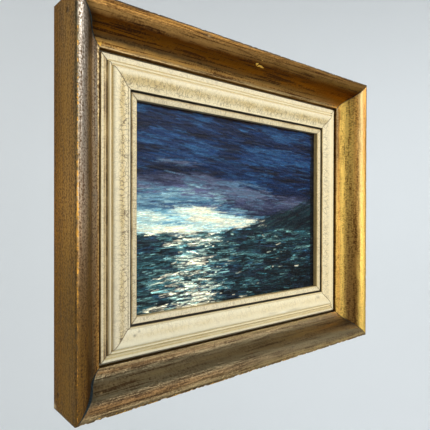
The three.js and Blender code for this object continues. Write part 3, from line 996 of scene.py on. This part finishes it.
def boardMaterial():
    # knife-laid oil paint: the colours of the strokes, dragged and gritty
    material, tree, shader = newMaterial("oilPaint")
    place = markVector(tree, "place")
    paint = addNode(tree, "Attribute", {}, attribute_name="paint").outputs["Color"]
    drag = noiseOf(place, (0.22, 1.7, 1), 4, 0.65, 0.6)
    grit = noiseOf(place, (1.1, 1.6, 1), 3, 0.6)
    tone = spread(plus(times(drag, 0.7), times(grit, 0.3)), 0.3, 0.7, 0.72, 1.30)
    colour = mixColour(1.0, paint, greyOf(tone), "MULTIPLY")
    # fine ridges of darker and paler paint, busiest on the water
    busy = markValue(tree, "busy")
    for scale, low, high, gain in (((0.055, 0.75, 1), 0.52, 0.60, 0.22), ((0.085, 0.95, 1), 0.56, 0.62, 3.2)):
        thread = spread(noiseOf(place, scale, 2.5, 0.55, 0.8), low, high)
        toned = mixColour(1.0, colour, (gain, gain, gain), "MULTIPLY")
        colour = mixColour(times(thread, busy), colour, toned)
    fillInputs(shader, {"Base Color": colour, "Roughness": spread(grit, 0.3, 0.7, 0.30, 0.44),
                        "Normal": bumpOf(drag, 0.0006, 0.55), "Specular IOR Level": 0.15})
    return material


def hardboardMaterial():
    # pressed brown fibre with the faint mesh of the press
    material, tree, shader = newMaterial("hardboard")
    place = markVector(tree, "place")
    fibre = noiseOf(place, (0.5, 0.5, 0.5), 5, 0.65)
    mesh = addNode(tree, "TexWave", {"Vector": place, "Scale": 0.35, "Distortion": 0.6}).outputs["Fac"]
    colour = mixColour(spread(fibre, 0.3, 0.7), fromScreen((92, 66, 44)), fromScreen((134, 102, 70)))
    height = plus(fibre, times(mesh, 0.4))
    fillInputs(shader, {"Base Color": colour, "Roughness": 0.75, "Normal": bumpOf(height, 0.0004, 0.5)})
    return material


def sampleArt(layer, x, y):
    cell = paintSizes["artCell"]
    x, y = (np.clip(at / cell, 0, size - 1.001) for at, size in ((x, layer.shape[1]), (y, layer.shape[0])))
    return blendCells(layer.swapaxes(0, 1), x, y)


def buildBoard():
    width = (boardHigh[0] - boardLow[0]) / mm
    height = (boardHigh[2] - boardLow[2]) / mm
    colours, relief = paintPicture(width, height)
    lap = paintSizes["lap"]
    cell = paintSizes["cell"]

    def spacing(size):
        inner = np.linspace(lap, size - lap, int((size - 2 * lap) / cell) + 1)
        return np.concatenate([[0, lap / 2], inner, [size - lap / 2, size]])

    xs = spacing(width)
    ys = spacing(height)
    x, y = np.meshgrid(xs, ys)
    edge = np.minimum(np.minimum(x, width - x), np.minimum(y, height - y))
    fade = easeStep(lap + 0.2, paintSizes["edgeFade"], edge)
    raised = sampleArt(relief, x, y) * paintSizes["relief"] * fade
    raised = np.clip(raised, 0, None)
    front = np.stack([boardLow[0] + x * mm, boardLow[1] - raised * mm, boardLow[2] + y * mm], axis=-1)
    rows, columns = x.shape
    index = np.arange(rows * columns).reshape(rows, columns)
    quads = np.stack([index[:-1, :-1], index[:-1, 1:], index[1:, 1:], index[1:, :-1]], axis=-1).reshape(-1, 4)
    ring = np.concatenate([index[0, :], index[1:, -1], index[-1, -2::-1], index[-2:0:-1, 0]])
    corners = front.reshape(-1, 3)
    back = corners[ring].copy()
    back[:, 1] = boardHigh[1]
    backIndex = np.arange(len(ring)) + len(corners)
    sides = np.stack([ring, backIndex, np.roll(backIndex, -1), np.roll(ring, -1)], axis=-1)
    faces = quads.tolist() + sides.tolist() + [backIndex[::-1].tolist()]
    corners = np.vstack([corners, back])
    tint = sampleArt(colours, x, y).reshape(-1, 3)
    tint = np.vstack([tint, np.tile(tint.mean(0), (len(ring), 1))])
    place = np.stack([corners[:, 0] / mm, corners[:, 2] / mm, corners[:, 1] / mm], axis=-1)
    up = (corners[:, 2] - boardLow[2]) / mm / height
    busy = 0.25 + 0.60 * easeStep(viewSizes["shore"] + 0.02, viewSizes["shore"] - 0.02, up)
    faceMaterials = [0] * len(quads) + [1] * (len(sides) + 1)
    piece = addMesh("paintedBoard", corners, faces, {"place": place, "paint": tint, "busy": busy},
                    [boardMaterial(), hardboardMaterial()], faceMaterials, 60)
    dress(piece, "painted_board")


backWood = woodMaterial("agedSoftwood", (196, 164, 118), (150, 118, 78))
# the mitre end faces: dark bluish wood, partly painted shade of the open joints
jointShadeWood = woodMaterial("jointShadeWood", (92, 110, 116), (56, 70, 76))
for side in railSides:
    buildGiltRail(side)
print("gilt rails done")

creamRails = [("liner", linerSection(), linerLook), ("slip", slipSection(), slipLook)]
creamPaints = {kind: creamMaterial(kind + "Paint", look) for kind, section, look in creamRails}
for number, side in enumerate(railSides):
    for kind, section, look in creamRails:
        buildCreamRail(kind, section, side, creamPaints[kind], look, look["seed"] + number)
print("liner and slip done")

buildBoard()
print("painted board done")


# the studio's sizes and places are in metres, its angles in degrees and its powers in watts
studio = {
    "floorDrop": 1.0, "radius": 2.4, "bend": 0.8, "wallHeight": 4.5, "floorReach": 9.0, "sweepTurn": 112,
    "sweepColour": (231, 234, 234),
    "world": [(0.0, (96, 88, 80), 1), (0.47, (120, 116, 110), 1), (0.56, (150, 152, 156), 1),
              (1.0, (206, 212, 220), 1)],
    "worldStrength": 0.7,
}
studioLights = [
    {"name": "frontWindow", "at": (0.35, -2.3, 0.35), "size": (1.8, 1.5), "power": 26,
     "colour": (255, 250, 240)},
    {"name": "highRight", "at": (1.1, -1.5, 1.3), "size": (1.0, 1.0), "power": 24, "colour": (250, 250, 255)},
    {"name": "leftPanel", "at": (-1.35, -1.85, 0.1), "size": (0.8, 1.5), "power": 5,
     "colour": (255, 250, 240)},
    {"name": "washRight", "at": (1.1, 0.35, 0.2), "size": (1.6, 1.8), "power": 6, "colour": (236, 244, 255),
     "aim": (2.2, 1.6, 0.1)},
    {"name": "washLeft", "at": (-0.4, 0.45, 0.2), "size": (1.6, 1.8), "power": 3.2, "colour": (246, 248, 250),
     "aim": (-0.6, 2.0, 0.1)},
]
# place from the frame's centre in metres; turn, tilt and roll in degrees; lens in mm
cameraView = {"fromCentre": (-0.3724, -0.4105, -0.0035), "turn": 39.88, "tilt": -0.37, "roll": 0.15,
              "lens": 36.79}


def buildSweep():
    # a paper sweep: flat floor that curls up into a round wall behind and beside the frame
    s = studio
    floorZ = lowCorner[2] - s["floorDrop"]
    wallTurns = np.radians(np.linspace(-s["sweepTurn"], s["sweepTurn"], 57))
    flat = s["radius"] - s["bend"]
    run = [(0.0, 0.0), (flat, 0.0)]
    run += [(flat + s["bend"] * math.sin(t), s["bend"] * (1 - math.cos(t)))
            for t in np.linspace(0, math.pi / 2, 13)[1:]]
    run += [(s["radius"], s["wallHeight"])]
    corners = [(r * math.sin(t), r * math.cos(t), floorZ + h) for t in wallTurns for r, h in run]
    count = len(run)
    faces = [[i * count + k, (i + 1) * count + k, (i + 1) * count + k + 1, i * count + k + 1]
             for i in range(len(wallTurns) - 1) for k in range(count - 1)]
    # the wide floor lies just under the sweep
    start = len(corners)
    reach = s["floorReach"]
    corners += [(x * reach, y * reach, floorZ - 0.002) for x, y in ((-1, -1), (1, -1), (1, 1), (-1, 1))]
    faces.append([start, start + 1, start + 2, start + 3])
    material, tree, shader = newMaterial("studioPaper")
    fillInputs(shader, {"Base Color": fromScreen(s["sweepColour"]), "Roughness": 0.9,
                        "Specular IOR Level": 0.1})
    addMesh("studioSweep", np.array(corners), faces, {}, [material], [0] * len(faces), 60)


def buildWorld():
    # soft light from all round, warmer and dimmer from below
    world = bpy.data.worlds.new("studioWorld")
    bpy.context.scene.world = world
    world.use_nodes = True
    tree = world.node_tree
    direction = addNode(tree, "TexCoord", {}).outputs["Generated"]
    height = addNode(tree, "SeparateXYZ", {0: direction}).outputs[2]
    share = addNode(tree, "MapRange", {"Value": height, "From Min": -1.0, "From Max": 1.0}).outputs[0]
    glow = bandRamp(share, studio["world"])[0]
    fillInputs(tree.nodes["Background"], {"Color": glow, "Strength": studio["worldStrength"]})


def addLight(spec):
    data = bpy.data.lights.new(spec["name"], "AREA")
    data.shape = "RECTANGLE"
    data.size, data.size_y = spec["size"]
    data.energy = spec["power"]
    data.color = fromScreen(spec["colour"])
    light = bpy.data.objects.new(spec["name"], data)
    light.location = frameCentre + Vector(spec["at"])
    aim = frameCentre + Vector(spec.get("aim", (0, 0, 0)))
    light.rotation_euler = (aim - light.location).to_track_quat("-Z", "Y").to_euler()
    light.visible_camera = False
    bpy.context.scene.collection.objects.link(light)


def addCamera():
    view = cameraView
    data = bpy.data.cameras.new("viewCamera")
    data.sensor_width = 36
    data.lens = view["lens"]
    data.clip_start = 0.02
    camera = bpy.data.objects.new("viewCamera", data)
    camera.location = frameCentre + Vector(view["fromCentre"])
    camera.rotation_mode = "YXZ"
    turn, tilt = math.radians(view["turn"]), math.radians(view["tilt"])
    forward = Vector((math.sin(turn), math.cos(turn), 0)) * math.cos(tilt) + Vector((0, 0, math.sin(tilt)))
    facing = forward.to_track_quat("-Z", "Y").to_matrix().to_4x4()
    roll = Matrix.Rotation(math.radians(-view["roll"]), 4, forward)
    camera.matrix_world = Matrix.Translation(camera.location) @ roll @ facing
    bpy.context.scene.collection.objects.link(camera)
    bpy.context.scene.camera = camera


buildSweep()
buildWorld()
for spec in studioLights:
    addLight(spec)
addCamera()
bpy.context.scene.view_settings.view_transform = "Standard"
print("studio done")
